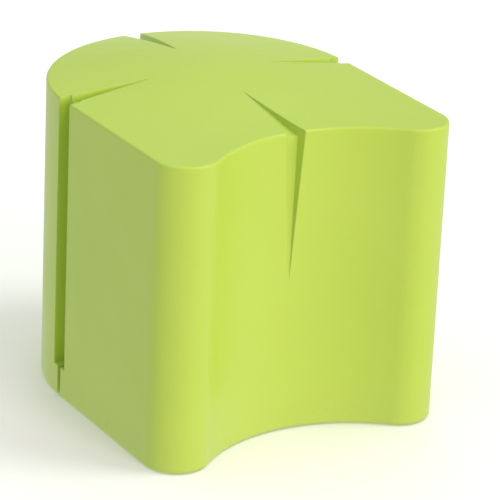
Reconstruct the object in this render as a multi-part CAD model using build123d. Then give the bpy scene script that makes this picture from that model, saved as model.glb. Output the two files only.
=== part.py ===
from build123d import *
import os
from math import cos, radians, sqrt, tan

# A single-step mounting block. The body is one hollow polyethylene moulding with a crowned deck,
# a rounded back and a hollowed front, so that one block nests against the back of the next.
# Four drainage grooves run out over the edge of the deck, and the two at the sides carry on down
# as channels. All sizes are millimetres. +Z is up, +Y is the rounded back, -Y the hollowed front.

# Body
HALF_WIDTH = 230.0        # half of the width, and the radius of the rounded back
CORNER_RADIUS = 48.0      # front corners, in plan
FRONT_DISTANCE = 240.0    # from the axis of the rounded back to the middle of the hollowed front
NEST_CLEARANCE = 4.0      # gap between a rounded back and the hollow that takes it
BODY_HEIGHT = 446.0       # underside to the rim of the deck
CROWN_RISE = 19.0         # top of the deck above its rim
CROWN_OFFSET = -15.0      # the crown's highest point, measured from the axis of the rounded back
RIM_RADIUS = 3.5          # rounded top edge
BASE_RADIUS = 2.0         # rounded bottom edge
WALL = 6.0                # side walls and underside
DECK_WALL = 7.0           # the deck, a little thicker than the walls

# Drainage grooves in the deck and walls
GROOVE_TIP = 96.0         # from the axis of the rounded back to a groove's inner end
GROOVE_MOUTH = 31.0       # width at the edge of the deck
GROOVE_DEPTH = 14.0       # depth at the edge of the deck
GROOVE_POINT = 1.2        # width where a groove runs out
GROOVE_DRAFT = 12.0       # slope of a groove's sides, degrees
GROOVE_DROP = 218.0       # how far the front and back grooves run down the wall
GROOVE_OVERRUN = 12.0     # how far a cut runs past the surface that it opens through

# Channels down the sides, each ending in a narrow slit
CHANNEL_WIDTH = 32.0
CHANNEL_DEPTH = 18.0
CHANNEL_LEDGE = 43.0      # underside of the body to the foot of the channel
CHANNEL_CORNER = 3.0      # rounded inner corners
SLIT_WIDTH = 8.0

# Hollow column that ties the deck to the underside
COLUMN_BASE_RADIUS = 78.0
COLUMN_TOP_RADIUS = 34.0

# Rubber feet and their fasteners
FOOT_RADIUS = 22.0
FOOT_POCKET = 7.0         # depth of the pocket that a foot sits in
FOOT_STAND = 3.0          # how far a foot stands below the body
FOOT_CHAMFER = 1.2
FOOT_CLEARANCE = 0.5
FOOT_INSET = 52.0         # foot centre to the side or front corner of the body
MIDDLE_FOOT_BACK = 48.0   # middle feet, in front of the side channels
REAR_FOOT_ANGLE = 54.0    # rear feet, up from the X axis round the rounded back
HEAD_RECESS = 6.5         # depth of the recess in a foot's underside
HEAD_RECESS_RADIUS = 8.5
SCREW_RADIUS = 3.0
SCREW_LENGTH = 16.0
SCREW_TIP = 0.8            # chamfer at a screw's tip
HEAD_RADIUS = 6.0
HEAD_HEIGHT = 3.8
HEAD_ROUNDING = 2.3
SOCKET_RADIUS = 2.0
SOCKET_DEPTH = 2.2
WASHER_RADIUS = 7.5
WASHER_THICKNESS = 1.5
SCREW_CLEARANCE = 0.3
THREAD_CLEARANCE = 0.1
INSERT_RADIUS = 4.6
INSERT_LENGTH = 14.0
INSERT_GROOVES = (4.2, 9.1)   # retaining grooves, up from an insert's lower end
INSERT_GROOVE_WIDTH = 1.5
INSERT_GROOVE_DEPTH = 0.6
INSERT_FIT = 0.1          # moulded-in metal to the plastic round it
BOSS_WALL = 6.0           # plastic round and above a moulded-in insert

# Fill and drain bung, low in the rounded back
BUNG_HEIGHT = 78.0        # underside of the body to the bung's axis
BUNG_RECESS = 13.0        # from the back's surface in to the seat
FINGER_GAP = 8.0          # all round the bung's flange
RECESS_DRAFT = 10.0       # slope of the recess's side, degrees
THREAD_RADIUS = 23.0
THREAD_RUN = 20.0         # length of the bung's threaded shank
BUNG_CLEARANCE = 0.3
BUNG_CUP_WALL = 4.0
FLANGE_THICKNESS = 4.0
FLANGE_ROUNDING = 1.6
FLANGE_LAP = 2.0          # how far the flange covers the seal's outer edge
GRIP_LENGTH = 46.0
GRIP_WIDTH = 10.0
GRIP_HEIGHT = 5.0
GRIP_ROUNDING = 1.5
SEAL_THICKNESS = 2.5
SEAL_BAND = 5.0           # width of the seal's flat ring
RING_WALL = 7.0           # moulded-in threaded ring
RING_LIP = 4.0            # how far the ring's flange stands out
RING_FLANGE = 4.0
RING_LENGTH = 24.0

# Worked out from the sizes above
NEST_RADIUS = HALF_WIDTH + NEST_CLEARANCE
NEST_CENTRE = FRONT_DISTANCE + NEST_RADIUS
CORNER_X = HALF_WIDTH - CORNER_RADIUS
CORNER_Y = NEST_CENTRE - sqrt((CORNER_RADIUS + NEST_RADIUS) ** 2 - CORNER_X**2)
FOREMOST = CORNER_Y + CORNER_RADIUS
UNDERSIDE = FOOT_STAND
RIM = UNDERSIDE + BODY_HEIGHT
PATCH_MARGIN = 4.0
PATCH_DROP = PATCH_MARGIN * 2 * CROWN_RISE / HALF_WIDTH
ABOVE_CROWN = CROWN_RISE + 30.0
POCKET_TOP = UNDERSIDE + FOOT_POCKET
FOOT_HEIGHT = FOOT_STAND + FOOT_POCKET
POCKET_RADIUS = FOOT_RADIUS + FOOT_CLEARANCE
SEAT_Y = HALF_WIDTH - BUNG_RECESS
OVERCUT = 1.0             # how far a plain hole is cut past the end that it opens through
BUNG_Z = UNDERSIDE + BUNG_HEIGHT
SHANK_RADIUS = THREAD_RADIUS - BUNG_CLEARANCE
SEAL_RADIUS = THREAD_RADIUS + SEAL_BAND
FLANGE_RADIUS = SEAL_RADIUS + FLANGE_LAP
RECESS_RADIUS = FLANGE_RADIUS + FINGER_GAP
RING_RADIUS = THREAD_RADIUS + RING_WALL
RING_FLANGE_RADIUS = RING_RADIUS + RING_LIP

# The body is drawn about the axis of its rounded back, then moved so that the middle of its
# footprint is at the origin.
PLACE = Pos(0, (FOREMOST - HALF_WIDTH) / 2, 0)
BACK_FACING = Rot(-90, 0, 0)


def outline(inset=0.0):
    """Edges of the footprint, drawn in by inset."""
    half = HALF_WIDTH - inset
    share = (CORNER_RADIUS - inset) / (CORNER_RADIUS + NEST_RADIUS)
    meet_x = CORNER_X * (1 - share)
    meet_y = -CORNER_Y - (NEST_CENTRE - CORNER_Y) * share
    return [
        CenterArc((0, 0), half, 0, 180),
        Line((-half, 0), (-half, -CORNER_Y)),
        TangentArc((-half, -CORNER_Y), (-meet_x, meet_y), tangent=(0, -1)),
        ThreePointArc((-meet_x, meet_y), (0, -FRONT_DISTANCE + inset), (meet_x, meet_y)),
        TangentArc((half, -CORNER_Y), (meet_x, meet_y), tangent=(0, -1)),
        Line((half, -CORNER_Y), (half, 0)),
    ]


def crown_surface():
    """The crowned top of the deck, a little wider than the body."""
    border = Wire([Pos(0, 0, RIM - PATCH_DROP) * edge for edge in outline(-PATCH_MARGIN)])
    return Face.make_surface(border, surface_points=[(0, CROWN_OFFSET, RIM + CROWN_RISE)])


CROWN = crown_surface()


def crown_height(x, y):
    """Height of the deck above the floor at a place in plan."""
    return CROWN.find_intersection_points(Axis((x, y, 0), (0, 0, 1)))[0][0].Z


def upright(bottom, top, inset=0.0):
    """The footprint as an upright prism between two heights."""
    return Pos(0, 0, bottom) * extrude(make_face(outline(inset)), top - bottom)


def above_deck(lowered=0.0):
    """Everything above the deck's surface, or above a surface lowered from it."""
    return Pos(0, 0, -lowered) * extrude(CROWN, ABOVE_CROWN + lowered, dir=(0, 0, 1))


def plain_block():
    """The block's outer shape with its edges rounded, before anything is cut into it."""
    block = upright(UNDERSIDE, RIM + ABOVE_CROWN / 2) - above_deck()
    level = [edge for edge in block.edges() if abs(edge.tangent_at(0.5).Z) < 0.5]
    block = fillet([edge for edge in level if edge.center().Z > RIM / 2], RIM_RADIUS)
    level = [edge for edge in block.edges() if edge.center().Z < UNDERSIDE + 0.01]
    return fillet(level, BASE_RADIUS)


def groove_cut(floor_points, floor_widths, run, opening, reach):
    """A tapering cut whose floor joins two points, with sides that slope out to its opening."""
    across = Vector(*opening).cross(Vector(*run))
    spread = reach * tan(radians(GROOVE_DRAFT))
    sections = []
    for point, width in zip(floor_points, floor_widths):
        half = width / 2
        profile = Polyline((-half, 0), (half, 0), (half + spread, reach), (-half - spread, reach), close=True)
        sections.append(Plane(origin=point, x_dir=across, z_dir=run) * make_face(profile))
    return loft(sections, ruled=True)


def deck_groove(direction, edge_distance, skin=0.0):
    """One groove in the deck, from its inner point out over the edge. skin grows it all round."""
    tip_height = crown_height(direction[0] * GROOVE_TIP, direction[1] * GROOVE_TIP)
    fall = (tip_height - RIM + GROOVE_DEPTH) / (edge_distance - GROOVE_TIP)
    end_distance = edge_distance + GROOVE_OVERRUN
    end_height = RIM - GROOVE_DEPTH - fall * GROOVE_OVERRUN
    floor_width = GROOVE_MOUTH - 2 * GROOVE_DEPTH * tan(radians(GROOVE_DRAFT))
    points = [
        (direction[0] * GROOVE_TIP, direction[1] * GROOVE_TIP, tip_height - skin),
        (direction[0] * end_distance, direction[1] * end_distance, end_height - skin),
    ]
    widths = [GROOVE_POINT + 2 * skin, floor_width + 2 * skin]
    return groove_cut(points, widths, (*direction, 0), (0, 0, 1), ABOVE_CROWN + skin)


def wall_groove(side, edge_distance, skin=0.0):
    """A deck groove carried down the front or back wall until it runs out."""
    reach = GROOVE_DEPTH + GROOVE_OVERRUN + skin
    floor_width = GROOVE_MOUTH - 2 * GROOVE_DEPTH * tan(radians(GROOVE_DRAFT))
    points = [
        (0, side * (edge_distance - GROOVE_DEPTH - skin), RIM),
        (0, side * (edge_distance - skin), RIM - GROOVE_DROP),
    ]
    widths = [floor_width + 2 * skin, GROOVE_POINT + 2 * skin]
    return groove_cut(points, widths, (0, 0, -1), (0, side, 0), reach)


def grooves(skin=0.0):
    """All the drainage grooves."""
    return [
        deck_groove((1, 0), HALF_WIDTH, skin),
        deck_groove((-1, 0), HALF_WIDTH, skin),
        deck_groove((0, 1), HALF_WIDTH, skin),
        deck_groove((0, -1), FRONT_DISTANCE, skin),
        wall_groove(1, HALF_WIDTH, skin),
        wall_groove(-1, FRONT_DISTANCE, skin),
    ]


def channel(side, skin=0.0):
    """One side channel and the slit below it. skin grows them, for the wall behind them."""
    depth = CHANNEL_DEPTH + skin
    length = depth + GROOVE_OVERRUN
    middle = side * (HALF_WIDTH - depth + length / 2)
    foot = UNDERSIDE + CHANNEL_LEDGE - skin
    top = RIM + ABOVE_CROWN
    wide = Box(length, CHANNEL_WIDTH + 2 * skin, top - foot, align=(Align.CENTER, Align.CENTER, Align.MIN))
    inner = [edge for edge in wide.edges().filter_by(Axis.Z) if edge.center().X * side < 0]
    wide = fillet(inner, CHANNEL_CORNER)
    slit = Box(length, SLIT_WIDTH + 2 * skin, 2 * foot, align=(Align.CENTER, Align.CENTER, Align.CENTER))
    return Pos(middle, 0, foot) * wide + Pos(middle, 0, foot) * slit


def column(skin=0.0):
    """The tapering hollow that rises from the underside to the deck. skin grows it."""
    top = RIM + CROWN_RISE - DECK_WALL - WALL
    height = top - UNDERSIDE
    slope = (COLUMN_BASE_RADIUS - COLUMN_TOP_RADIUS) / height
    grown = skin * sqrt(1 + slope**2)
    over = GROOVE_OVERRUN
    rise = height + (ABOVE_CROWN if skin else 0)
    low = COLUMN_BASE_RADIUS + grown + slope * over
    high = COLUMN_BASE_RADIUS + grown - slope * rise
    cone = Cone(low, high, rise + over, align=(Align.CENTER, Align.CENTER, Align.MIN))
    return Pos(0, CROWN_OFFSET, UNDERSIDE - over) * cone


def foot_places():
    """Name and place in plan of each foot."""
    side_x = HALF_WIDTH - FOOT_INSET
    front_y = -FOREMOST + FOOT_INSET
    rear = HALF_WIDTH - FOOT_INSET
    rear_x = rear * cos(radians(REAR_FOOT_ANGLE))
    rear_y = sqrt(rear**2 - rear_x**2)
    places = []
    for word, sign in (("left", -1), ("right", 1)):
        places.append((f"foot_front_{word}", sign * side_x, front_y))
        places.append((f"foot_middle_{word}", sign * side_x, -MIDDLE_FOOT_BACK))
        places.append((f"foot_rear_{word}", sign * rear_x, rear_y))
    return places


def upright_cylinder(radius, bottom, top):
    """A cylinder on the Z axis between two heights."""
    return Pos(0, 0, bottom) * Cylinder(radius, top - bottom, align=(Align.CENTER, Align.CENTER, Align.MIN))


def backward_cylinder(radius, near, far):
    """A cylinder on the bung's axis, from near to far along +Y."""
    rod = Cylinder(radius, far - near, align=(Align.CENTER, Align.CENTER, Align.MIN))
    return Pos(0, near, BUNG_Z) * BACK_FACING * rod


def foot_cuts():
    """Pocket and insert hole for every foot, seen from below."""
    pocket = upright_cylinder(POCKET_RADIUS, 0, POCKET_TOP)
    hole = upright_cylinder(INSERT_RADIUS + INSERT_FIT, 0, POCKET_TOP + INSERT_LENGTH + INSERT_FIT)
    return [Pos(x, y, 0) * (pocket + hole) for _, x, y in foot_places()]


def foot_thickening():
    """The plastic round each foot's pocket and insert, inside the body."""
    pocket = upright_cylinder(POCKET_RADIUS + WALL, 0, POCKET_TOP + WALL)
    boss_top = POCKET_TOP + INSERT_LENGTH + BOSS_WALL
    boss = upright_cylinder(INSERT_RADIUS + BOSS_WALL, 0, boss_top)
    return [Pos(x, y, 0) * (pocket + boss) for _, x, y in foot_places()]


def bung_cuts():
    """Recess, bore and ring groove for the bung, and the opening into the body."""
    spread = BUNG_RECESS * tan(radians(RECESS_DRAFT))
    outside = HALF_WIDTH + GROOVE_OVERRUN
    wide = RECESS_RADIUS + spread * (outside - SEAT_Y) / BUNG_RECESS
    cone = Cone(RECESS_RADIUS, wide, outside - SEAT_Y, align=(Align.CENTER, Align.CENTER, Align.MIN))
    recess = Pos(0, SEAT_Y, BUNG_Z) * BACK_FACING * cone
    back = SEAT_Y - RING_LENGTH
    bore = backward_cylinder(RING_RADIUS + INSERT_FIT, back, SEAT_Y)
    groove_back = SEAT_Y - (RING_LENGTH + RING_FLANGE) / 2
    groove = backward_cylinder(RING_FLANGE_RADIUS + INSERT_FIT, groove_back - INSERT_FIT,
                               groove_back + RING_FLANGE + INSERT_FIT)
    way_in = backward_cylinder(THREAD_RADIUS, back - 3 * WALL, back)
    return [recess, bore, groove, way_in]


def bung_thickening():
    """The plastic round the recess and the moulded-in ring, inside the body."""
    back = SEAT_Y - RING_LENGTH - WALL
    boss = backward_cylinder(RING_FLANGE_RADIUS + BOSS_WALL, back, SEAT_Y)
    pan = backward_cylinder(RECESS_RADIUS + 2 * WALL, SEAT_Y - WALL, HALF_WIDTH)
    return [boss, pan]


def cavity():
    """The sealed hollow inside the body."""
    hollow = upright(UNDERSIDE + WALL, RIM + ABOVE_CROWN / 2, WALL) - above_deck(DECK_WALL)
    solid_parts = grooves(WALL) + [channel(-1, WALL), channel(1, WALL), column(WALL)]
    solid_parts += foot_thickening() + bung_thickening()
    for part in solid_parts:
        hollow -= part
    return hollow


def body():
    """The hollow moulding."""
    block = plain_block()
    for cut in grooves() + [channel(-1), channel(1), column()] + foot_cuts():
        block -= cut
    block -= cavity()
    for cut in bung_cuts():
        block -= cut
    return block


def foot():
    """A rubber foot, recessed for its screw, standing on the floor at the origin."""
    pad = upright_cylinder(FOOT_RADIUS, 0, FOOT_HEIGHT)
    rims = pad.edges().filter_by(GeomType.CIRCLE)
    pad = chamfer(rims, FOOT_CHAMFER)
    pad -= upright_cylinder(HEAD_RECESS_RADIUS, -OVERCUT, HEAD_RECESS)
    return pad - upright_cylinder(SCREW_RADIUS + SCREW_CLEARANCE, -OVERCUT, FOOT_HEIGHT + OVERCUT)


def foot_washer():
    """The washer under a foot screw's head."""
    disc = upright_cylinder(WASHER_RADIUS, HEAD_RECESS - WASHER_THICKNESS, HEAD_RECESS)
    return disc - upright_cylinder(SCREW_RADIUS + SCREW_CLEARANCE, 0, FOOT_HEIGHT)


def foot_screw():
    """A button-headed screw with a hexagon socket, driven up through a foot."""
    seat = HEAD_RECESS - WASHER_THICKNESS
    head = upright_cylinder(HEAD_RADIUS, seat - HEAD_HEIGHT, seat)
    lower = head.edges().filter_by(GeomType.CIRCLE).sort_by(Axis.Z)[0]
    head = fillet(lower, HEAD_ROUNDING)
    shank = upright_cylinder(SCREW_RADIUS, seat, seat + SCREW_LENGTH)
    tip = shank.edges().filter_by(GeomType.CIRCLE).sort_by(Axis.Z)[-1]
    shank = chamfer(tip, SCREW_TIP)
    key = extrude(Pos(0, 0, seat - HEAD_HEIGHT) * RegularPolygon(SOCKET_RADIUS, 6), SOCKET_DEPTH)
    return head + shank - key


def foot_insert():
    """A brass insert moulded into the body above a foot, with two retaining grooves."""
    top = POCKET_TOP + INSERT_LENGTH
    sleeve = upright_cylinder(INSERT_RADIUS, POCKET_TOP, top)
    for height in INSERT_GROOVES:
        low = POCKET_TOP + height
        ring = upright_cylinder(INSERT_RADIUS + OVERCUT, low, low + INSERT_GROOVE_WIDTH)
        sleeve -= ring - upright_cylinder(INSERT_RADIUS - INSERT_GROOVE_DEPTH, POCKET_TOP, top)
    hole = upright_cylinder(SCREW_RADIUS + THREAD_CLEARANCE, POCKET_TOP - OVERCUT, top + OVERCUT)
    return sleeve - hole


def fill_bung():
    """The screw bung: a hollow shank, a flange and a raised grip."""
    under = SEAT_Y + SEAL_THICKNESS
    shank = backward_cylinder(SHANK_RADIUS, SEAT_Y - THREAD_RUN, under)
    flange = backward_cylinder(FLANGE_RADIUS, under, under + FLANGE_THICKNESS)
    rims = flange.edges().filter_by(GeomType.CIRCLE).sort_by(Axis.Y)
    flange = fillet(rims[-1], FLANGE_ROUNDING)
    bar = extrude(SlotOverall(GRIP_LENGTH, GRIP_WIDTH), GRIP_HEIGHT)
    bar = fillet(bar.edges().group_by(Axis.Z)[-1], GRIP_ROUNDING)
    bar = Pos(0, under + FLANGE_THICKNESS, BUNG_Z) * BACK_FACING * bar
    cup_radius = SHANK_RADIUS - BUNG_CUP_WALL
    cup = backward_cylinder(cup_radius, SEAT_Y - THREAD_RUN - OVERCUT, SEAT_Y - BUNG_CUP_WALL)
    return shank + flange + bar - cup


def bung_seal():
    """The flat rubber seal under the bung's flange."""
    disc = backward_cylinder(SEAL_RADIUS, SEAT_Y, SEAT_Y + SEAL_THICKNESS)
    return disc - backward_cylinder(THREAD_RADIUS, SEAT_Y - OVERCUT, SEAT_Y + SEAL_THICKNESS + OVERCUT)


def bung_ring():
    """The threaded ring moulded into the back, held by its flange."""
    ring = backward_cylinder(RING_RADIUS, SEAT_Y - RING_LENGTH, SEAT_Y)
    flange_back = SEAT_Y - (RING_LENGTH + RING_FLANGE) / 2
    ring += backward_cylinder(RING_FLANGE_RADIUS, flange_back, flange_back + RING_FLANGE)
    return ring - backward_cylinder(THREAD_RADIUS, SEAT_Y - RING_LENGTH - OVERCUT, SEAT_Y + OVERCUT)


def at_each_foot(piece):
    """A separate copy of a piece at every foot."""
    return Compound([Pos(x, y, 0) * piece for _, x, y in foot_places()])


def parts():
    """Every piece by name, about the axis of the rounded back."""
    pieces = {
        "body": body(),
        "fill_bung": fill_bung(),
        "bung_seal": bung_seal(),
        "bung_ring": bung_ring(),
        "foot_screws": at_each_foot(foot_screw()),
        "foot_washers": at_each_foot(foot_washer()),
        "foot_inserts": at_each_foot(foot_insert()),
    }
    pad = foot()
    for name, x, y in foot_places():
        pieces[name] = Pos(x, y, 0) * pad
    return pieces


def main():
    os.makedirs("parts", exist_ok=True)
    for name, piece in parts().items():
        export_step(PLACE * piece, f"parts/{name}.step")


if __name__ == "__main__":
    main()
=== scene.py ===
import math

import bmesh
import bpy
from bpy.props import FloatProperty, FloatVectorProperty, IntProperty, PointerProperty
from mathutils import Matrix, Vector


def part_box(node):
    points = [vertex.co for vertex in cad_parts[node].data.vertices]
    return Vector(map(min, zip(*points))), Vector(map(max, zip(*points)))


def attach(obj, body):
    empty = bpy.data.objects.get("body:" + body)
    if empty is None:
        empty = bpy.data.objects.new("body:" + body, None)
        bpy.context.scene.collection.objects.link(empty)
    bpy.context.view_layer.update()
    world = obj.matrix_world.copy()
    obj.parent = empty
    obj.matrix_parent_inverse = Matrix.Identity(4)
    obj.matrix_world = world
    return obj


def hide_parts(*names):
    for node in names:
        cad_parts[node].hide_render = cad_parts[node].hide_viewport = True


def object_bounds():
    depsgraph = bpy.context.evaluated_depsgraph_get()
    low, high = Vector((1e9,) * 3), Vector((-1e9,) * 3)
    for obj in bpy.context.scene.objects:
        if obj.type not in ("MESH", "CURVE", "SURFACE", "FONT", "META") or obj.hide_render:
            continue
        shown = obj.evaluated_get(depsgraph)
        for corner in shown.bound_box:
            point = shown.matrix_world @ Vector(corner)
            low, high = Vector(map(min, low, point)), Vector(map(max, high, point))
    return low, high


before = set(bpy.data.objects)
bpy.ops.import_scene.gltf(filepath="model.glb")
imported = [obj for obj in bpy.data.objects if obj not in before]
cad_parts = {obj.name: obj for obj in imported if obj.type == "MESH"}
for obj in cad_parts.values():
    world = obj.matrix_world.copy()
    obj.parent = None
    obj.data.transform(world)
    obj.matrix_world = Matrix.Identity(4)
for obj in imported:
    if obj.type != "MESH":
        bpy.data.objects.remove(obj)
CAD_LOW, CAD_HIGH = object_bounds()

bl_info = {
    "name": "Mounting Block",
    "version": (1, 0, 0),
    "blender": (4, 5, 0),
    "location": "3D View > Sidebar > Mounting Block",
    "description": "Finishes a mounting block, its feet and its drain bung, in a plain studio",
    "category": "Object",
}

FEET = (
    "foot_front_left", "foot_front_right", "foot_middle_left",
    "foot_middle_right", "foot_rear_left", "foot_rear_right",
)
CENTRE = (CAD_LOW + CAD_HIGH) / 2
FULL_TURN = 2 * math.pi
# Where the seal lies against the body, along Y, and the middle of the bung.
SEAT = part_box("bung_seal")[0].y
BUNG_AXIS = (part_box("fill_bung")[0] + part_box("fill_bung")[1]) / 2
SHANK_RADIUS = 0.0227
TURN_SEGMENTS = 216

YARD_DUST = (0.34, 0.30, 0.23)
# Colour of dust on the rubber, also used to make its edges paler, as wear and as a painted
# highlight.
RUBBER_DUST_AND_HIGHLIGHT = (0.26, 0.23, 0.19)
RUBBER_BLOOM = (0.10, 0.10, 0.10)
# How far rubbed plastic goes towards a pale grey, and how bright that grey is. The paler edges are
# wear and also a painted highlight.
WEAR_AND_HIGHLIGHT_PALENESS, WEAR_AND_HIGHLIGHT_GREY = 0.45, 0.8
PLASTIC_IOR = 1.49
EDGE_SAMPLES = 6

# Grey of the room by height, from straight down (0) to straight up (1). Below the middle it is the
# light that the floor throws back, so the floor itself is hidden from everything but the camera.
ROOM = ((0.0, 0.70), (0.49, 0.78), (0.52, 0.80), (0.60, 0.36), (0.72, 0.46), (1.0, 1.0))
# Each light's name, its strength in the studio settings, its direction from the block, its width
# in degrees, its colour, and whether it glints. A low light's glare hides the deck from behind.
LIGHTS = (
    ("Key Light", "key", (0.15, -0.95, 0.24), 26.0, (1.0, 0.80, 0.86), False),
    ("Overhead Light", "overhead", (0.486, -0.33, 0.81), 22.0, (0.95, 1.0, 0.86), True),
    ("Rear Light", "rear", (0.45, 0.84, 0.30), 40.0, (1.0, 1.0, 1.0), False),
)
LIGHT_DISTANCE = 3.0
FLOOR_RADIUS = 40.0
# Where the camera looks, from the middle of the block.
AIM = Vector((0.0375, -0.0352, -0.0259))
SENSOR_WIDTH = 36.0


# ---------------------------------------------------------------- node helpers

def add_node(tree, kind, **settings):
    """A node with its settings and, by name, its unlinked input values."""
    node = tree.nodes.new(kind)
    values = settings.pop("values", {})
    for name, value in settings.items():
        setattr(node, name, value)
    for name, value in values.items():
        node.inputs[name].default_value = value
    return node


def arithmetic(tree, operation, first, second, clamp=False):
    """A Math node. first and second are sockets or numbers."""
    node = add_node(tree, "ShaderNodeMath", operation=operation, use_clamp=clamp)
    for socket, value in zip(node.inputs, (first, second)):
        if isinstance(value, (int, float)):
            socket.default_value = value
        else:
            tree.links.new(value, socket)
    return node.outputs[0]


def plus(tree, first, second, clamp=False):
    """The sum of two sockets or numbers."""
    return arithmetic(tree, "ADD", first, second, clamp)


def minus(tree, first, second, clamp=False):
    """The first less the second."""
    return arithmetic(tree, "SUBTRACT", first, second, clamp)


def times(tree, *factors):
    """The product of two or more sockets or numbers."""
    result = factors[0]
    for factor in factors[1:]:
        result = arithmetic(tree, "MULTIPLY", result, factor)
    return result


def ramp(tree, value, low, high, to_low=0.0, to_high=1.0):
    """A value carried smoothly from one range to another."""
    node = add_node(tree, "ShaderNodeMapRange", interpolation_type="SMOOTHSTEP", values={
        "From Min": low, "From Max": high, "To Min": to_low, "To Max": to_high})
    tree.links.new(value, node.inputs["Value"])
    return node.outputs["Result"]


def blend_colour(tree, factor, first, second, kind="MIX"):
    """A colour mix. factor, first and second are sockets or values."""
    node = add_node(tree, "ShaderNodeMix", data_type="RGBA", blend_type=kind)
    for index, value in ((0, factor), (6, first), (7, second)):
        if isinstance(value, bpy.types.NodeSocket):
            tree.links.new(value, node.inputs[index])
        elif isinstance(value, (int, float)):
            node.inputs[index].default_value = value
        else:
            node.inputs[index].default_value = (*value[:3], 1.0)
    return node.outputs[2]


def object_noise(tree, scale, detail=3.0, roughness=0.55, stretch=None, distortion=0.0):
    """Noise on the piece's own coordinates. stretch scales each axis first."""
    place = add_node(tree, "ShaderNodeTexCoord").outputs["Object"]
    if stretch:
        mapping = add_node(tree, "ShaderNodeMapping", values={"Scale": stretch})
        tree.links.new(place, mapping.inputs["Vector"])
        place = mapping.outputs["Vector"]
    node = add_node(tree, "ShaderNodeTexNoise", values={
        "Detail": detail, "Roughness": roughness, "Distortion": distortion})
    tree.links.new(place, node.inputs["Vector"])
    if isinstance(scale, (int, float)):
        node.inputs["Scale"].default_value = scale
    else:
        tree.links.new(scale, node.inputs["Scale"])
    return node.outputs["Fac"]


def new_group(name, inputs, outputs):
    """An empty shader node group. inputs are (name, type, default), outputs (name, type)."""
    group = bpy.data.node_groups.new(name, "ShaderNodeTree")
    for label, kind, default in inputs:
        socket = group.interface.new_socket(label, in_out="INPUT", socket_type=kind)
        socket.default_value = default
    for label, kind in outputs:
        group.interface.new_socket(label, in_out="OUTPUT", socket_type=kind)
    given, result = add_node(group, "NodeGroupInput"), add_node(group, "NodeGroupOutput")
    return group, given.outputs, result.inputs


# ---------------------------------------------------------------- shared surface effects

def moulded_skin():
    """The fine grain of a moulded surface, and its slow unevenness."""
    group, given, result = new_group(
        "Moulded Skin",
        [("Grain Scale", "NodeSocketFloat", 900.0), ("Grain", "NodeSocketFloat", 0.4),
         ("Waviness", "NodeSocketFloat", 0.6)],
        [("Height", "NodeSocketFloat"), ("Gloss Variation", "NodeSocketFloat")])
    fine = object_noise(group, given["Grain Scale"], detail=2.0, roughness=0.5)
    cells = add_node(group, "ShaderNodeTexVoronoi", feature="SMOOTH_F1",
                     values={"Smoothness": 0.6})
    place = add_node(group, "ShaderNodeTexCoord").outputs["Object"]
    group.links.new(place, cells.inputs["Vector"])
    group.links.new(times(group, given["Grain Scale"], 0.55), cells.inputs["Scale"])
    grain = plus(group, times(group, fine, 0.6), times(group, cells.outputs["Distance"], 0.4))
    slow = object_noise(group, 16.0, detail=2.0, roughness=0.45)
    height = plus(group, times(group, grain, given["Grain"]),
                  times(group, slow, 20.0, given["Waviness"]))
    group.links.new(height, result["Height"])
    quick = object_noise(group, 70.0, detail=4.0, roughness=0.6)
    gloss = plus(group, times(group, slow, 0.6), times(group, quick, 0.4))
    group.links.new(gloss, result["Gloss Variation"])
    return group


def tone_drift():
    """Slow and fine changes of a colour over a surface."""
    group, given, result = new_group(
        "Tone Drift",
        [("Colour", "NodeSocketColor", (0.5, 0.5, 0.5, 1.0)), ("Drift", "NodeSocketFloat", 0.05)],
        [("Colour", "NodeSocketColor")])
    slow = object_noise(group, 5.0, detail=3.0, roughness=0.5)
    fine = object_noise(group, 160.0, detail=3.0, roughness=0.6)
    shift = minus(group, plus(group, times(group, slow, 0.7), times(group, fine, 0.3)), 0.5)
    shift = times(group, shift, given["Drift"])
    tint = add_node(group, "ShaderNodeHueSaturation")
    group.links.new(given["Colour"], tint.inputs["Color"])
    group.links.new(plus(group, times(group, shift, 0.12), 0.5), tint.inputs["Hue"])
    group.links.new(plus(group, shift, 1.0), tint.inputs["Saturation"])
    group.links.new(minus(group, 1.0, shift), tint.inputs["Value"])
    group.links.new(tint.outputs["Color"], result["Colour"])
    return group


def handling_marks():
    """Fine scratches and scuffs, as a mask."""
    group, given, result = new_group(
        "Handling Marks",
        [("Amount", "NodeSocketFloat", 0.5)],
        [("Mask", "NodeSocketFloat")])
    along = object_noise(group, 60.0, detail=3.0, roughness=0.7,
                         stretch=(0.35, 6.0, 1.0), distortion=0.6)
    across = object_noise(group, 60.0, detail=3.0, roughness=0.7,
                          stretch=(7.0, 0.4, 1.2), distortion=0.5)
    scuffs = ramp(group, object_noise(group, 9.0, detail=6.0, roughness=0.7), 0.56, 0.74)
    lines = arithmetic(group, "MAXIMUM", ramp(group, along, 0.66, 0.72),
                       ramp(group, across, 0.67, 0.73))
    patches = ramp(group, object_noise(group, 7.0, detail=2.0, roughness=0.5), 0.45, 0.62)
    marks = plus(group, times(group, lines, patches), times(group, scuffs, 0.35), clamp=True)
    group.links.new(times(group, marks, given["Amount"]), result["Mask"])
    return group


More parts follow.
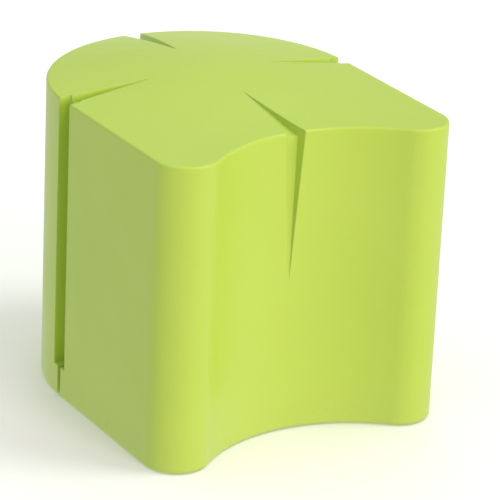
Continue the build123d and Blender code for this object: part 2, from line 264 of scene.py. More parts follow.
def edge_rub():
    """Rubbing along the outer edges, partly a painted highlight along them, as a mask. Reach is
    how far from an edge it starts.
    """
    group, given, result = new_group(
        "Edge Rub",
        [("Amount", "NodeSocketFloat", 0.5), ("Reach", "NodeSocketFloat", 0.003)],
        [("Mask", "NodeSocketFloat")])
    rounded = add_node(group, "ShaderNodeBevel", samples=EDGE_SAMPLES)
    group.links.new(given["Reach"], rounded.inputs["Radius"])
    turn = add_node(group, "ShaderNodeVectorMath", operation="DOT_PRODUCT")
    group.links.new(rounded.outputs["Normal"], turn.inputs[0])
    sharp = add_node(group, "ShaderNodeNewGeometry").outputs["Normal"]
    group.links.new(sharp, turn.inputs[1])
    edge = ramp(group, minus(group, 1.0, turn.outputs["Value"]), 0.02, 0.22)
    uneven = object_noise(group, 38.0, detail=4.0, roughness=0.65)
    patches = ramp(group, uneven, 0.35, 0.7, to_low=0.3)
    group.links.new(times(group, edge, patches, given["Amount"]), result["Mask"])
    return group


def ground_dust():
    """Dust and splashes near the ground, as a mask."""
    group, given, result = new_group(
        "Ground Dust",
        [("Amount", "NodeSocketFloat", 0.3), ("Reach", "NodeSocketFloat", 0.06)],
        [("Mask", "NodeSocketFloat")])
    place = add_node(group, "ShaderNodeSeparateXYZ")
    group.links.new(add_node(group, "ShaderNodeTexCoord").outputs["Object"], place.inputs[0])
    risen = arithmetic(group, "DIVIDE", place.outputs["Z"], given["Reach"])
    low = minus(group, 1.0, risen, clamp=True)
    speckle = object_noise(group, 120.0, detail=5.0, roughness=0.7)
    specks = ramp(group, speckle, 0.42, 0.68, to_low=0.3)
    group.links.new(times(group, low, specks, given["Amount"]), result["Mask"])
    return group


EFFECTS = {}


def effect(tree, name, **values):
    """One of the shared groups placed in a material."""
    if not EFFECTS:
        for make in (moulded_skin, tone_drift, handling_marks, edge_rub, ground_dust):
            EFFECTS[make.__name__] = make()
    node = tree.nodes.new("ShaderNodeGroup")
    node.node_tree = EFFECTS[name]
    for label, value in values.items():
        socket = node.inputs[label.replace("_", " ").title()]
        if isinstance(value, bpy.types.NodeSocket):
            tree.links.new(value, socket)
        else:
            socket.default_value = value
    return node.outputs


# ---------------------------------------------------------------- materials

def new_material(name):
    """An empty material, its tree and its shader."""
    material = bpy.data.materials.new(name)
    material.use_nodes = True
    tree = material.node_tree
    tree.nodes.clear()
    shader = add_node(tree, "ShaderNodeBsdfPrincipled")
    output = add_node(tree, "ShaderNodeOutputMaterial")
    tree.links.new(shader.outputs["BSDF"], output.inputs["Surface"])
    return material, tree, shader


def raise_surface(tree, shader, height, distance, softness=0.0):
    """Feeds a height to the shader's normal, and softens the edges."""
    bump = add_node(tree, "ShaderNodeBump", values={"Strength": 1.0, "Distance": distance})
    if softness:
        edges = add_node(tree, "ShaderNodeBevel", samples=EDGE_SAMPLES,
                         values={"Radius": softness})
        tree.links.new(edges.outputs["Normal"], bump.inputs["Normal"])
    tree.links.new(height, bump.inputs["Height"])
    tree.links.new(bump.outputs["Normal"], shader.inputs["Normal"])


def moulded_plastic(name, colour, roughness, grain, waviness, marks, rub_and_highlight, dust, drift=0.06,
                    softness=0.0):
    """Satin moulded plastic: its grain, slow tone changes, scratches, rubbed edges that are also a
    painted highlight, and dust.
    """
    material, tree, shader = new_material(name)
    skin = effect(tree, "moulded_skin", grain=grain, waviness=waviness)
    scratches = effect(tree, "handling_marks", amount=marks)["Mask"]
    rubbed_and_highlit = effect(tree, "edge_rub", amount=rub_and_highlight, reach=softness * 1.3 + 0.0004)["Mask"]
    dusty = effect(tree, "ground_dust", amount=dust)["Mask"]
    scratch_paleness, scratch_depth, scratch_dulling = 0.25, 0.25, 0.18
    dust_dulling, gloss_spread = 0.5, 0.16
    base = effect(tree, "tone_drift", colour=(*colour, 1.0), drift=drift)["Colour"]
    paler = [(1 - WEAR_AND_HIGHLIGHT_PALENESS) * part + WEAR_AND_HIGHLIGHT_PALENESS * WEAR_AND_HIGHLIGHT_GREY for part in colour]
    # Edges go paler as wear and as a painted highlight; scratches go paler as wear.
    worn_and_highlit = plus(tree, rubbed_and_highlit, times(tree, scratches, scratch_paleness))
    base = blend_colour(tree, worn_and_highlit, base, paler)
    base = blend_colour(tree, dusty, base, YARD_DUST)
    tree.links.new(base, shader.inputs["Base Color"])
    spread = times(tree, minus(tree, skin["Gloss Variation"], 0.5), gloss_spread)
    rough = plus(tree, spread, roughness)
    rough = plus(tree, rough, times(tree, scratches, scratch_dulling))
    rough = plus(tree, rough, times(tree, dusty, dust_dulling), clamp=True)
    tree.links.new(rough, shader.inputs["Roughness"])
    height = minus(tree, skin["Height"], times(tree, scratches, scratch_depth))
    raise_surface(tree, shader, height, distance=0.00012, softness=softness)
    shader.inputs["IOR"].default_value = PLASTIC_IOR
    return material


def rubber(name, colour, roughness, dust):
    """Matt rubber with a fine bloom and ground dust."""
    material, tree, shader = new_material(name)
    skin = effect(tree, "moulded_skin", grain_scale=1600.0, grain=0.7, waviness=0.05)
    dusty = effect(tree, "ground_dust", amount=dust, reach=0.012)["Mask"]
    rubbed_and_highlit = effect(tree, "edge_rub", amount=0.25, reach=0.0006)["Mask"]
    base = effect(tree, "tone_drift", colour=(*colour, 1.0), drift=0.35)["Colour"]
    cloudy = object_noise(tree, 210.0, detail=5.0, roughness=0.7)
    bloom = ramp(tree, cloudy, 0.5, 0.75, to_high=0.35)
    base = blend_colour(tree, bloom, base, RUBBER_BLOOM)
    # Dust near the ground and the edges go to a dusty grey; the paler edges are also a painted
    # highlight.
    base = blend_colour(tree, plus(tree, dusty, rubbed_and_highlit, clamp=True), base, RUBBER_DUST_AND_HIGHLIGHT)
    tree.links.new(base, shader.inputs["Base Color"])
    rough = plus(tree, times(tree, skin["Gloss Variation"], 0.14), roughness)
    tree.links.new(rough, shader.inputs["Roughness"])
    raise_surface(tree, shader, skin["Height"], distance=0.00006)
    return material


def machined_metal(name, colour, roughness, tarnish):
    """Turned and plated metal: tool marks, scratches and a little tarnish."""
    material, tree, shader = new_material(name)
    scratches = effect(tree, "handling_marks", amount=0.7)["Mask"]
    base = effect(tree, "tone_drift", colour=(*colour, 1.0), drift=0.25)["Colour"]
    spotted = object_noise(tree, 260.0, detail=5.0, roughness=0.65)
    dull = ramp(tree, spotted, 0.48, 0.72, to_high=tarnish)
    base = blend_colour(tree, dull, base, [part * 0.45 for part in colour])
    tree.links.new(base, shader.inputs["Base Color"])
    turned = object_noise(tree, 300.0, detail=2.0, roughness=0.5, stretch=(1.0, 1.0, 14.0))
    rough = plus(tree, times(tree, turned, 0.16), roughness - 0.08)
    rough = plus(tree, rough, times(tree, scratches, 0.2), clamp=True)
    tree.links.new(rough, shader.inputs["Roughness"])
    raise_surface(tree, shader, plus(tree, turned, scratches), distance=0.00002)
    shader.inputs["Metallic"].default_value = 1.0
    return material


def dress(node_name, material):
    """Gives a CAD node its finished material."""
    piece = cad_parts[node_name]
    for slot in piece.material_slots:
        slot.material = material


# ---------------------------------------------------------------- mesh helpers

def mesh_object(name, mesh):
    """A piece at the origin made from a mesh."""
    piece = bpy.data.objects.new(name, mesh)
    bpy.context.scene.collection.objects.link(piece)
    return piece


def turned_mesh(name, rings, segments, place):
    """A closed solid of revolution. rings are functions of the angle that give (radius, along),
    and place turns (radius, angle, along) into a point. The end rings are on the axis."""
    work = bmesh.new()
    rows = []
    for number, ring in enumerate(rings):
        if number in (0, len(rings) - 1):
            rows.append([work.verts.new(place(*(ring(0.0)[0], 0.0, ring(0.0)[1])))])
            continue
        row = []
        for step in range(segments):
            angle = FULL_TURN * step / segments
            radius, along = ring(angle)
            row.append(work.verts.new(place(radius, angle, along)))
        rows.append(row)
    for inner, outer in zip(rows, rows[1:]):
        for step in range(segments):
            after = (step + 1) % segments
            corners = (inner[step % len(inner)], outer[step % len(outer)],
                       outer[after % len(outer)], inner[after % len(inner)])
            work.faces.new(list(dict.fromkeys(corners)))
    return finished(name, work)


def finished(name, work, sharp=0.6):
    """A mesh from a bmesh, merged, facing outwards, smooth but for its sharp edges."""
    bmesh.ops.remove_doubles(work, verts=work.verts, dist=1e-7)
    bmesh.ops.recalc_face_normals(work, faces=work.faces)
    for face in work.faces:
        face.smooth = True
    for edge in work.edges:
        edge.smooth = edge.calc_face_angle(0.0) < sharp
    mesh = bpy.data.meshes.new(name)
    work.to_mesh(mesh)
    work.free()
    return mesh


def refinish(piece):
    """Merges, turns outwards and smooths the mesh that a piece has."""
    work = bmesh.new()
    work.from_mesh(piece.data)
    piece.data = finished(piece.name, work)


def run_modifiers(piece):
    """Replaces a piece's mesh by what its modifiers make of it, and removes them."""
    bpy.context.view_layer.update()
    depsgraph = bpy.context.evaluated_depsgraph_get()
    made = bpy.data.meshes.new_from_object(piece.evaluated_get(depsgraph))
    piece.modifiers.clear()
    old, piece.data = piece.data, made
    made.name = piece.name
    bpy.data.meshes.remove(old)
    return piece


def keep(piece, material, body, slot, *nodes):
    """Finishes a piece: its material, the body that it rides on, and the nodes it stands for."""
    piece.data.materials.clear()
    piece.data.materials.append(material)
    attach(piece, body)
    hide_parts(*nodes)


# ---------------------------------------------------------------- geometry node trees

def new_tree(name, inputs):
    """A geometry node tree with a geometry in and out, and named inputs (name, type, default)."""
    tree = bpy.data.node_groups.new(name, "GeometryNodeTree")
    tree.interface.new_socket("Geometry", in_out="INPUT", socket_type="NodeSocketGeometry")
    for label, kind, default in inputs:
        socket = tree.interface.new_socket(label, in_out="INPUT", socket_type=kind)
        if default is not None:
            socket.default_value = default
    tree.interface.new_socket("Geometry", in_out="OUTPUT", socket_type="NodeSocketGeometry")
    given, result = add_node(tree, "NodeGroupInput"), add_node(tree, "NodeGroupOutput")
    return tree, given.outputs, result.inputs


def run_tree(piece, tree, **values):
    """Runs a tree on a piece and keeps the plain mesh that it makes."""
    modifier = piece.modifiers.new(tree.name, "NODES")
    modifier.node_group = tree
    for item in tree.interface.items_tree:
        key = item.name.lower().replace(" ", "_")
        if item.in_out == "INPUT" and key in values:
            modifier[item.identifier] = values[key]
    return run_modifiers(piece)


def paint_and_end(tree, geometry, given, result):
    """Ends a tree: realized instances with the given material."""
    whole = add_node(tree, "GeometryNodeRealizeInstances")
    tree.links.new(geometry, whole.inputs[0])
    paint = add_node(tree, "GeometryNodeSetMaterial")
    tree.links.new(whole.outputs[0], paint.inputs["Geometry"])
    tree.links.new(given["Material"], paint.inputs["Material"])
    tree.links.new(paint.outputs[0], result["Geometry"])


def foot_set_tree():
    """Turns the profile in the piece's mesh into a foot, cuts radial grooves across its tread, and
    stands one at every point marked as a foot's place."""
    tree, given, result = new_tree("Foot Set", [
        ("Segments", "NodeSocketInt", 96), ("Treads", "NodeSocketInt", 12),
        ("Tread Width", "NodeSocketFloat", 0.0016), ("Tread Depth", "NodeSocketFloat", 0.001),
        ("Inner Radius", "NodeSocketFloat", 0.010), ("Outer Radius", "NodeSocketFloat", 0.022),
        ("Material", "NodeSocketMaterial", None)])
    link = tree.links.new
    mark = add_node(tree, "GeometryNodeInputNamedAttribute", data_type="BOOLEAN",
                    values={"Name": "foot_place"})
    parting = add_node(tree, "GeometryNodeSeparateGeometry", domain="POINT")
    link(given["Geometry"], parting.inputs["Geometry"])
    link(mark.outputs["Attribute"], parting.inputs["Selection"])
    profile = parting.outputs["Inverted"]
    count = add_node(tree, "GeometryNodeAttributeDomainSize", component="MESH")
    link(profile, count.inputs[0])
    across = plus(tree, given["Segments"], 1)
    sheet = add_node(tree, "GeometryNodeMeshGrid")
    link(count.outputs["Point Count"], sheet.inputs["Vertices X"])
    link(across, sheet.inputs["Vertices Y"])
    index = add_node(tree, "GeometryNodeInputIndex").outputs[0]
    row = arithmetic(tree, "FLOOR", arithmetic(tree, "DIVIDE", index, across), 0)
    column = arithmetic(tree, "MODULO", index, across)
    angle = times(tree, arithmetic(tree, "DIVIDE", column, given["Segments"]), FULL_TURN)
    sample = add_node(tree, "GeometryNodeSampleIndex", data_type="FLOAT_VECTOR",
                      domain="POINT")
    link(profile, sample.inputs["Geometry"])
    link(add_node(tree, "GeometryNodeInputPosition").outputs[0], sample.inputs["Value"])
    link(row, sample.inputs["Index"])
    point = add_node(tree, "ShaderNodeSeparateXYZ")
    link(sample.outputs["Value"], point.inputs[0])
    place = add_node(tree, "ShaderNodeCombineXYZ")
    for axis, wave in (("X", "COSINE"), ("Y", "SINE")):
        link(times(tree, point.outputs["X"], arithmetic(tree, wave, angle, 0)), place.inputs[axis])
    link(point.outputs["Z"], place.inputs["Z"])
    wrap = add_node(tree, "GeometryNodeSetPosition")
    link(sheet.outputs["Mesh"], wrap.inputs["Geometry"])
    link(place.outputs[0], wrap.inputs["Position"])
    seam = add_node(tree, "GeometryNodeMergeByDistance", values={"Distance": 1e-6})
    link(wrap.outputs[0], seam.inputs["Geometry"])
    ring = add_node(tree, "GeometryNodeMeshCircle")
    middle = times(tree, plus(tree, given["Inner Radius"], given["Outer Radius"]), 0.5)
    link(given["Treads"], ring.inputs["Vertices"])
    link(middle, ring.inputs["Radius"])
    cutter = add_node(tree, "GeometryNodeMeshCube")
    size = add_node(tree, "ShaderNodeCombineXYZ")
    band = minus(tree, given["Outer Radius"], given["Inner Radius"])
    link(times(tree, band, 1.4), size.inputs["X"])
    link(given["Tread Width"], size.inputs["Y"])
    link(times(tree, given["Tread Depth"], 2.0), size.inputs["Z"])
    link(size.outputs[0], cutter.inputs["Size"])
    spokes = add_node(tree, "GeometryNodeInstanceOnPoints")
    turn = add_node(tree, "FunctionNodeAlignRotationToVector", axis="X")
    link(add_node(tree, "GeometryNodeInputPosition").outputs[0], turn.inputs["Vector"])
    link(ring.outputs["Mesh"], spokes.inputs["Points"])
    link(cutter.outputs["Mesh"], spokes.inputs["Instance"])
    link(turn.outputs[0], spokes.inputs["Rotation"])
    solid_spokes = add_node(tree, "GeometryNodeRealizeInstances")
    link(spokes.outputs[0], solid_spokes.inputs[0])
    cut = add_node(tree, "GeometryNodeMeshBoolean", operation="DIFFERENCE", solver="EXACT")
    link(seam.outputs[0], cut.inputs[0])
    link(solid_spokes.outputs[0], cut.inputs[1])
    feet = add_node(tree, "GeometryNodeInstanceOnPoints")
    link(parting.outputs["Selection"], feet.inputs["Points"])
    link(cut.outputs[0], feet.inputs["Instance"])
    paint_and_end(tree, feet.outputs[0], given, result)
    return tree


def ribbed_rim_tree():
    """Presses ribs into the vertices marked as a rim, round an axis along Y."""
    tree, given, result = new_tree("Ribbed Rim", [
        ("Ribs", "NodeSocketInt", 36), ("Rib Depth", "NodeSocketFloat", 0.0006),
        ("Axis X", "NodeSocketFloat", 0.0), ("Axis Z", "NodeSocketFloat", 0.0),
        ("Material", "NodeSocketMaterial", None)])
    link = tree.links.new
    point = add_node(tree, "ShaderNodeSeparateXYZ")
    link(add_node(tree, "GeometryNodeInputPosition").outputs[0], point.inputs[0])
    x = minus(tree, point.outputs["X"], given["Axis X"])
    z = minus(tree, point.outputs["Z"], given["Axis Z"])
    turned = times(tree, arithmetic(tree, "ARCTAN2", x, z), given["Ribs"])
    wave = arithmetic(tree, "COSINE", turned, 0)
    share = arithmetic(tree, "POWER", plus(tree, times(tree, wave, 0.5), 0.5), 3.0)
    inward = add_node(tree, "ShaderNodeCombineXYZ")
    link(x, inward.inputs["X"])
    link(z, inward.inputs["Z"])
    straight = add_node(tree, "ShaderNodeVectorMath", operation="NORMALIZE")
    link(inward.outputs[0], straight.inputs[0])
    moved = add_node(tree, "ShaderNodeVectorMath", operation="SCALE")
    link(straight.outputs[0], moved.inputs[0])
    link(times(tree, share, given["Rib Depth"], -1.0), moved.inputs["Scale"])
    mark = add_node(tree, "GeometryNodeInputNamedAttribute", data_type="FLOAT",
                    values={"Name": "rim"})
    press = add_node(tree, "GeometryNodeSetPosition")
    chosen = add_node(tree, "FunctionNodeCompare", data_type="FLOAT", operation="GREATER_THAN")
    link(mark.outputs["Attribute"], chosen.inputs[0])
    chosen.inputs[1].default_value = 0.5
    link(given["Geometry"], press.inputs["Geometry"])
    link(chosen.outputs[0], press.inputs["Selection"])
    link(moved.outputs[0], press.inputs["Offset"])
    paint_and_end(tree, press.outputs[0], given, result)
    return tree


# ---------------------------------------------------------------- settings

class BlockFinish(bpy.types.PropertyGroup):
    """Colours and surface of the moulded body."""
    colour: FloatVectorProperty(
        name="Body Colour", description="Colour of the moulded body", subtype="COLOR",
        default=(0.452, 0.616, 0.07), min=0.0, max=1.0)
    roughness: FloatProperty(
        name="Roughness", description="How matt the moulded body is", subtype="FACTOR",
        default=0.34, min=0.0, max=1.0)
    grain: FloatProperty(
        name="Grain", description="Strength of the fine moulded grain",
        default=0.4, min=0.0, max=2.0)
    waviness: FloatProperty(
        name="Waviness", description="Strength of the slow unevenness",
        default=0.5, min=0.0, max=3.0)
    edge_radius: FloatProperty(
        name="Edge Softness", description="Width of the softened edges of grooves and channels",
        subtype="DISTANCE", unit="LENGTH", default=0.0028, min=0.0, max=0.006)


class BlockFeet(bpy.types.PropertyGroup):
    """Sizes of the rubber feet's tread."""
    treads: IntProperty(
        name="Tread Grooves", description="Radial grooves across each foot",
        default=12, min=3, max=36)
    tread_width: FloatProperty(
        name="Groove Width", description="Width of a tread groove",
        subtype="DISTANCE", unit="LENGTH", default=0.0016, min=0.0005, max=0.004)
    tread_depth: FloatProperty(
        name="Groove Depth", description="Depth of a tread groove",
        subtype="DISTANCE", unit="LENGTH", default=0.0009, min=0.0002, max=0.0015)
    colour: FloatVectorProperty(
        name="Rubber Colour", description="Colour of the feet", subtype="COLOR",
        default=(0.045, 0.045, 0.047), min=0.0, max=1.0)


class BlockBung(bpy.types.PropertyGroup):
    """Sizes of the bung's thread and rim."""
    pitch: FloatProperty(
        name="Thread Pitch", description="Travel of the bung in one turn",
        subtype="DISTANCE", unit="LENGTH", default=0.0045, min=0.002, max=0.008)
    thread_depth: FloatProperty(
        name="Thread Depth", description="Height of the bung's thread",
        subtype="DISTANCE", unit="LENGTH", default=0.0016, min=0.0005, max=0.0025)
    ribs: IntProperty(
        name="Rim Ribs", description="Finger ribs round the bung's flange",
        default=36, min=8, max=90)
    colour: FloatVectorProperty(
        name="Bung Colour", description="Colour of the bung", subtype="COLOR",
        default=(0.035, 0.037, 0.036), min=0.0, max=1.0)


class BlockStudio(bpy.types.PropertyGroup):
    """Camera and light."""
    azimuth: FloatProperty(
        name="Azimuth", description="Camera's place round the block, from the front",
        subtype="ANGLE", default=math.radians(-31.57))
    elevation: FloatProperty(
        name="Elevation", description="Camera's height above the level",
        subtype="ANGLE", default=math.radians(21.77))
    roll: FloatProperty(
        name="Roll", description="Camera's turn about its own line of sight",
        subtype="ANGLE", default=math.radians(2.611))
    distance: FloatProperty(
        name="Distance", description="Camera to the block",
        subtype="DISTANCE", unit="LENGTH", default=4.2865, min=0.5)
    lens: FloatProperty(
        name="Lens", description="Focal length in millimetres", default=214.3, min=10.0)
    key: FloatProperty(
        name="Key Light", description="Strength of the low light in front", default=1.6, min=0.0)
    overhead: FloatProperty(
        name="Overhead Light", description="Strength of the light that draws the highlights",
        default=0.9, min=0.0)
    rear: FloatProperty(
        name="Rear Light", description="Strength of the light behind", default=0.5, min=0.0)
    surround: FloatProperty(
        name="Surround", description="Brightness of the room", default=1.1, min=0.0)
    floor_colour: FloatVectorProperty(
        name="Floor Colour", description="Colour of the floor", subtype="COLOR",
        default=(0.97, 0.97, 0.97), min=0.0, max=1.0)


# ---------------------------------------------------------------- operators

class MOUNTINGBLOCK_OT_body(bpy.types.Operator):
    """Finishes the moulded body: grained lime plastic"""
    bl_idname = "mounting_block.body"
    bl_label = "Moulded Body"

    def execute(self, context):
        finish = context.scene.block_finish
        lime = moulded_plastic(
            "Lime Polyethylene", finish.colour, finish.roughness, finish.grain, finish.waviness,
            marks=0.35, rub_and_highlight=0.35, dust=0.10, softness=finish.edge_radius)
        dress("body", lime)
        return {"FINISHED"}


class MOUNTINGBLOCK_OT_feet(bpy.types.Operator):
    """Makes the six rubber feet with grooved treads"""
    bl_idname = "mounting_block.feet"
    bl_label = "Rubber Feet"

    def execute(self, context):
        settings = context.scene.block_feet
        low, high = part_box(FEET[0])
        radius, height = (high.x - low.x) / 2, high.z - low.z
        recess_depth, recess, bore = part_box("foot_washers")[1].z, 0.0085, 0.0033
        soft, lip, tread_inset = 0.0012, 0.0006, 0.0025
        corner = soft * 0.3
        profile = [
            (bore, height), (radius - soft, height), (radius - corner, height - corner),
            (radius, height - soft), (radius, height * 0.62), (radius - lip, height * 0.55),
            (radius - lip, height * 0.45), (radius, height * 0.38), (radius, soft),
            (radius - corner, corner), (radius - soft, 0.0), (recess + lip, 0.0),
            (recess, lip), (recess, recess_depth), (bore, recess_depth), (bore, height),
        ]
        points = [(across, 0.0, up) for across, up in profile]
        for name in FEET:
            middle = (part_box(name)[0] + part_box(name)[1]) / 2
            points.append((middle.x, middle.y, 0.0))
        mesh = bpy.data.meshes.new("rubber_feet")
        mesh.from_pydata(points, [], [])
        marks = mesh.attributes.new("foot_place", "BOOLEAN", "POINT")
        for number in range(len(points)):
            marks.data[number].value = number >= len(profile)
        piece = mesh_object("rubber_feet", mesh)
        black = rubber("Foot Rubber", settings.colour, 0.72, dust=0.5)
        run_tree(piece, foot_set_tree(), treads=settings.treads, material=black,
                 tread_width=settings.tread_width, tread_depth=settings.tread_depth,
                 inner_radius=recess + tread_inset, outer_radius=radius)
        refinish(piece)
        keep(piece, black, "block", "foot_rubber", *FEET)
        return {"FINISHED"}


class MOUNTINGBLOCK_OT_fasteners(bpy.types.Operator):
    """Finishes the foot screws, their washers and the brass inserts"""
    bl_idname = "mounting_block.fasteners"
    bl_label = "Screws, Washers and Inserts"

    def execute(self, context):
        steel = machined_metal("Stainless Steel", (0.60, 0.60, 0.585), 0.30, 0.25)
        brass = machined_metal("Insert Brass", (0.72, 0.54, 0.26), 0.34, 0.35)
        dress("foot_screws", steel)
        dress("foot_washers", steel)
        dress("foot_inserts", brass)
        return {"FINISHED"}


def eased(value, low, high):
    """0 below low, 1 above high, and smooth between."""
    share = min(max((value - low) / (high - low), 0.0), 1.0)
    return share * share * (3 - 2 * share)


def thread_share(phase):
    """Height of a rounded trapezoid thread, 0 to 1, at a share of its pitch."""
    foot, flank = 0.72, 0.30
    distance = abs((phase % 1.0) - 0.5) * 2
    return eased((foot - distance) / flank, 0.0, 1.0)


def about_bung(radius, angle, along):
    """A point about the bung's axis. Angles turn right-handed about +Y."""
    return (BUNG_AXIS.x + radius * math.sin(angle), along, BUNG_AXIS.z + radius * math.cos(angle))


def plain_rings(*sizes):
    """Round rings for turned_mesh, from their radii and places along the axis."""
    return [lambda angle, size=size: size for size in sizes]


class MOUNTINGBLOCK_OT_bung(bpy.types.Operator):
    """Makes the threaded bung and the threaded ring that holds it, and finishes the seal"""
    bl_idname = "mounting_block.bung"
    bl_label = "Bung, Seal and Ring"

    def execute(self, context):
        settings = context.scene.block_bung
        black = moulded_plastic(
            "Bung Plastic", settings.colour, roughness=0.38, grain=0.6, waviness=0.05,
            marks=0.8, rub_and_highlight=0.10, dust=0.0, drift=0.2)
        ring_black = moulded_plastic(
            "Ring Plastic", (0.06, 0.06, 0.062), roughness=0.45, grain=0.6, waviness=0.05,
            marks=0.5, rub_and_highlight=0.1, dust=0.0, drift=0.2)
        dress("bung_seal", rubber("Seal Rubber", (0.03, 0.03, 0.03), 0.55, dust=0.0))
        self.bung(settings, black)
        self.ring(settings, ring_black)
        return {"FINISHED"}

    def bung(self, settings, material):
        """The hollow shank with its thread, the flange with its ribbed rim, and the grip."""
        low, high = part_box("fill_bung")
        under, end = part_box("bung_seal")[1].y, low.y
        flange, wall, thread_steps = 0.004, 0.004, 74
        soft, cup_soft, mouth_soft = 0.0006, 0.0015, 0.0005
        top, radius = under + flange, (high.x - low.x) / 2
        cup, cup_floor = SHANK_RADIUS - wall, SEAT - wall
        groove_out, groove_in = 0.0050, 0.0072
        lead_in, full_thread, run_out, neck = 0.0012, 0.0035, 0.003, 0.0008
        depth, pitch = settings.thread_depth, settings.pitch
        root = SHANK_RADIUS - depth

        def thread_ring(along):
            near_seat = eased(along, SEAT - run_out, SEAT - neck)
            fade = eased(along, end + lead_in, end + full_thread) * (1 - near_seat)
            chamfer = soft * (1 - eased(along, end, end + lead_in))

            def ring(angle):
                crest = root + depth * thread_share(along / pitch - angle / FULL_TURN) * fade
                plain = SHANK_RADIUS if along > SEAT - 0.002 else root
                return (crest * (1 - near_seat) + plain * near_seat - chamfer, along)
            return ring

        rings = plain_rings(
            (0.0, cup_floor), (cup - cup_soft, cup_floor), (cup - 0.0004, cup_floor - 0.0004),
            (cup, cup_floor - cup_soft), (cup, end + mouth_soft), (cup + mouth_soft, end))
        rings += [thread_ring(end + (SEAT - end) * step / thread_steps)
                  for step in range(thread_steps + 1)]
        rings += plain_rings(
            (SHANK_RADIUS, under), (radius - soft, under), (radius, under + soft),
            (radius, under + 0.0015), (radius, top - 0.0016), (radius - 0.0005, top - soft),
            (radius - 0.0016, top), (radius - groove_out, top),
            (radius - groove_out - soft, top - soft), (radius - groove_in + soft, top - soft),
            (radius - groove_in, top), (0.0, top))
        mesh = turned_mesh("fill_bung_threaded", rings, TURN_SEGMENTS, about_bung)
        rim = mesh.attributes.new("rim", "FLOAT", "POINT")
        for vertex in mesh.vertices:
            off = math.hypot(vertex.co.x - BUNG_AXIS.x, vertex.co.z - BUNG_AXIS.z)
            rim.data[vertex.index].value = 1.0 if off > radius - 1e-5 else 0.0
        piece = mesh_object("fill_bung_threaded", mesh)
        run_tree(piece, ribbed_rim_tree(), ribs=settings.ribs, rib_depth=0.0007,
                 axis_x=BUNG_AXIS.x, axis_z=BUNG_AXIS.z, material=material)
        self.join_grip(piece, top, high.y)
        keep(piece, material, "bung", "bung_plastic", "fill_bung")

    def join_grip(self, piece, flange_top, top):
        """Unites the raised grip with the flange."""
        half, width, sunk, end_steps = 0.018, 0.005, 0.0006, 16
        work = bmesh.new()
        outline = []
        for side in (1, -1):
            for step in range(end_steps + 1):
                angle = math.pi * (step / end_steps - 0.5)
                outline.append((side * (half + width * math.cos(angle)),
                                side * width * math.sin(angle)))
        rows = []
        for inset, along in ((0.0, flange_top - sunk), (0.0, top - 0.0015), (0.0002, top - 0.0009),
                             (0.0007, top - 0.0003), (0.0015, top)):
            scale_x, scale_z = 1 - inset / (half + width), 1 - inset / width
            rows.append([
                work.verts.new((BUNG_AXIS.x + x * scale_x, along, BUNG_AXIS.z + z * scale_z))
                for x, z in outline])
        for lower, upper in zip(rows, rows[1:]):
            for step in range(len(outline)):
                after = (step + 1) % len(outline)
                work.faces.new((lower[step], lower[after], upper[after], upper[step]))
        work.faces.new(rows[0])
        work.faces.new(list(reversed(rows[-1])))
        grip = mesh_object("grip", finished("grip", work))
        union = piece.modifiers.new("Grip", "BOOLEAN")
        union.operation, union.solver, union.object = "UNION", "EXACT", grip
        run_modifiers(piece)
        bpy.data.objects.remove(grip)
        refinish(piece)

    def ring(self, settings, material):
        """The ring moulded into the wall: a collar with an inner thread and an outer lip."""
        low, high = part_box("bung_ring")
        outer, lip, bore, half_lip = 0.030, (high.x - low.x) / 2, 0.023, 0.002
        lead_in, run_out, bore_mouth = 0.002, 0.0045, 0.0025
        back, front, middle = low.y, high.y, (low.y + high.y) / 2
        steps = 90
        work = bmesh.new()
        angles = [FULL_TURN * step / TURN_SEGMENTS for step in range(TURN_SEGMENTS)]
        rows = [[work.verts.new(about_bung(radius, angle, along)) for angle in angles]
                for radius, along in (
                    (outer, back), (outer, middle - half_lip), (lip, middle - half_lip),
                    (lip, middle + half_lip), (outer, middle + half_lip), (outer, front))]
        for number in range(steps + 1):
            along = front + (back - front) * number / steps
            mouth = eased(along, front - run_out, front - bore_mouth)
            depth = settings.thread_depth * eased(along, back, back + lead_in) * (1 - mouth)
            rows.append([
                work.verts.new(about_bung(
                    bore - depth * (1 - thread_share(along / settings.pitch - angle / FULL_TURN)),
                    angle, along))
                for angle in angles])
        for near, far in zip(rows, rows[1:] + rows[:1]):
            for step in range(TURN_SEGMENTS):
                after = (step + 1) % TURN_SEGMENTS
                work.faces.new((near[step], near[after], far[after], far[step]))
        piece = mesh_object("bung_ring_threaded", finished("bung_ring_threaded", work))
        keep(piece, material, "block", "ring_plastic", "bung_ring")


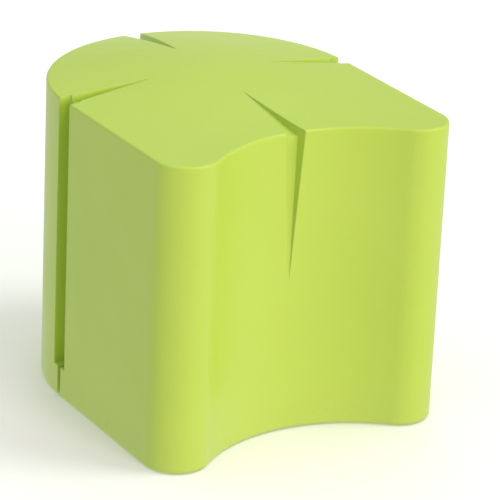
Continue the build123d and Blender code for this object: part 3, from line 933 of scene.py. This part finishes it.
class MOUNTINGBLOCK_OT_studio(bpy.types.Operator):
    """Sets up the floor, the lights and the camera"""
    bl_idname = "mounting_block.studio"
    bl_label = "Studio"

    def execute(self, context):
        studio = context.scene.block_studio
        self.floor(studio)
        self.lights(context, studio)
        self.camera(context, studio)
        return {"FINISHED"}

    def floor(self, studio):
        """A pale floor that only the camera sees, and only from above."""
        work = bmesh.new()
        bmesh.ops.create_circle(work, cap_ends=True, segments=96, radius=FLOOR_RADIUS)
        mesh = bpy.data.meshes.new("floor")
        work.to_mesh(mesh)
        work.free()
        floor = mesh_object("floor", mesh)
        material, tree, shader = new_material("Studio Floor")
        base = effect(tree, "tone_drift", colour=(*studio.floor_colour, 1.0), drift=0.01)["Colour"]
        tree.links.new(base, shader.inputs["Base Color"])
        shader.inputs["Roughness"].default_value = 0.75
        shader.inputs["Specular IOR Level"].default_value = 0.15
        clear = add_node(tree, "ShaderNodeBsdfTransparent")
        seen = add_node(tree, "ShaderNodeMixShader")
        below = add_node(tree, "ShaderNodeNewGeometry").outputs["Backfacing"]
        tree.links.new(below, seen.inputs[0])
        tree.links.new(shader.outputs["BSDF"], seen.inputs[1])
        tree.links.new(clear.outputs[0], seen.inputs[2])
        output = next(node for node in tree.nodes if node.type == "OUTPUT_MATERIAL")
        tree.links.new(seen.outputs[0], output.inputs["Surface"])
        mesh.materials.append(material)
        floor.visible_diffuse = floor.visible_glossy = floor.visible_shadow = False

    def lights(self, context, studio):
        """The grey room and the three lights in it."""
        world = bpy.data.worlds.new("Studio Surround")
        world.use_nodes = True
        tree = world.node_tree
        background = tree.nodes["Background"]
        background.inputs["Strength"].default_value = studio.surround
        level = add_node(tree, "ShaderNodeSeparateXYZ")
        toward_sky = add_node(tree, "ShaderNodeTexCoord").outputs["Generated"]
        tree.links.new(toward_sky, level.inputs[0])
        room = add_node(tree, "ShaderNodeValToRGB")
        stops = room.color_ramp.elements
        for height, grey in ROOM[1:-1]:
            stops.new(height)
        for stop, (height, grey) in zip(stops, ROOM):
            stop.color = (grey, grey, grey, 1.0)
        rise = times(tree, plus(tree, level.outputs["Z"], 1.0), 0.5)
        tree.links.new(rise, room.inputs["Fac"])
        tree.links.new(room.outputs["Color"], background.inputs["Color"])
        context.scene.world = world
        for name, setting, direction, width, colour, glints in LIGHTS:
            toward = Vector(direction).normalized()
            data = bpy.data.lights.new(name, "SUN")
            data.energy, data.angle = getattr(studio, setting), math.radians(width)
            data.color = colour
            lamp = bpy.data.objects.new(name, data)
            context.scene.collection.objects.link(lamp)
            lamp.location = CENTRE + toward * LIGHT_DISTANCE
            lamp.rotation_euler = toward.to_track_quat("Z", "Y").to_euler()
            lamp.visible_glossy = glints

    def camera(self, context, studio):
        """The camera, from its place round the block."""
        turn, rise, roll = studio.azimuth, studio.elevation, studio.roll
        back = Vector((math.sin(turn) * math.cos(rise), -math.cos(turn) * math.cos(rise),
                       math.sin(rise)))
        level = Vector((0.0, 0.0, 1.0)).cross(back).normalized()
        upright = back.cross(level)
        right = level * math.cos(roll) + upright * math.sin(roll)
        up = back.cross(right)
        data = bpy.data.cameras.new("Camera")
        data.lens, data.sensor_width = studio.lens, SENSOR_WIDTH
        data.clip_start, data.clip_end = 0.1, 200.0
        camera = bpy.data.objects.new("Camera", data)
        context.scene.collection.objects.link(camera)
        place = Matrix((right, up, back)).transposed().to_4x4()
        place.translation = CENTRE + AIM + back * studio.distance
        camera.matrix_world = place
        context.scene.camera = camera
        context.scene.view_settings.view_transform = "Standard"


# ---------------------------------------------------------------- panel and registration

class MOUNTINGBLOCK_PT_panel(bpy.types.Panel):
    """Sizes, colours and operators of the mounting block"""
    bl_label = "Mounting Block"
    bl_idname = "MOUNTINGBLOCK_PT_panel"
    bl_space_type = "VIEW_3D"
    bl_region_type = "UI"
    bl_category = "Mounting Block"

    def draw(self, context):
        for settings, operators in LISTED:
            box = self.layout.box()
            group = getattr(context.scene, settings)
            for name in group.__annotations__:
                box.prop(group, name)
            for operator in operators:
                box.operator(operator.bl_idname)


SETTINGS = {
    "block_finish": BlockFinish, "block_feet": BlockFeet, "block_bung": BlockBung,
    "block_studio": BlockStudio,
}
OPERATORS = (
    MOUNTINGBLOCK_OT_body, MOUNTINGBLOCK_OT_feet, MOUNTINGBLOCK_OT_fasteners,
    MOUNTINGBLOCK_OT_bung, MOUNTINGBLOCK_OT_studio,
)
LISTED = (
    ("block_finish", (MOUNTINGBLOCK_OT_body,)),
    ("block_feet", (MOUNTINGBLOCK_OT_feet, MOUNTINGBLOCK_OT_fasteners)),
    ("block_bung", (MOUNTINGBLOCK_OT_bung,)),
    ("block_studio", (MOUNTINGBLOCK_OT_studio,)),
)


def register():
    for item in (*SETTINGS.values(), *OPERATORS, MOUNTINGBLOCK_PT_panel):
        bpy.utils.register_class(item)
    for name, group in SETTINGS.items():
        setattr(bpy.types.Scene, name, PointerProperty(type=group))


def unregister():
    for name in SETTINGS:
        delattr(bpy.types.Scene, name)
    for item in (MOUNTINGBLOCK_PT_panel, *reversed(OPERATORS), *reversed(SETTINGS.values())):
        bpy.utils.unregister_class(item)


def main():
    register()
    bpy.ops.mounting_block.body()
    bpy.ops.mounting_block.feet()
    bpy.ops.mounting_block.fasteners()
    bpy.ops.mounting_block.bung()
    bpy.ops.mounting_block.studio()


if __name__ == "__main__":
    main()
